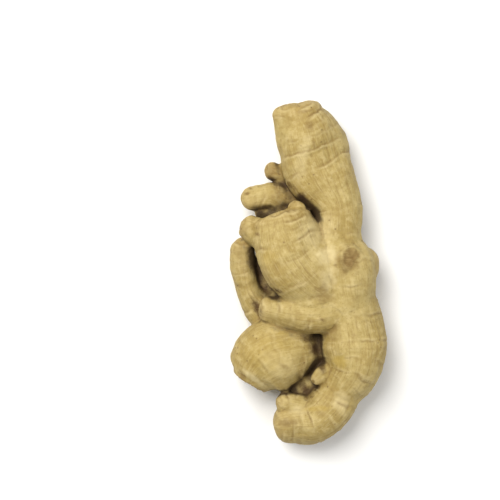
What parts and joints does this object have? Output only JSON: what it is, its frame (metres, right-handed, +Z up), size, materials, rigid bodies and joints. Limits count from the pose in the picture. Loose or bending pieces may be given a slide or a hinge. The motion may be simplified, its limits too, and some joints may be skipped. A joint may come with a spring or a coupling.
{
  "type": "ginger root",
  "caption": "Knobbly hand of fresh ginger lying flat: swollen ringed lobes, short side shoots and a broken shoot scar, fused as one rhizome.",
  "frame": {"origin": "middle of the footprint's bounding box, on the surface that the rhizome lies on", "axes": "+Z up from that surface, +Y along the hand to its thick upper finger, +X to its heavy lower lobe"},
  "size_m": [0.0882, 0.1914, 0.0447],
  "materials": {
    "ginger_skin": "matt dry papery skin, pale tan, with darker rings, creases and broken ends"
  },
  "bodies": {
    "root": {"rhizome": "ginger_skin"}
  },
  "joints": []
}
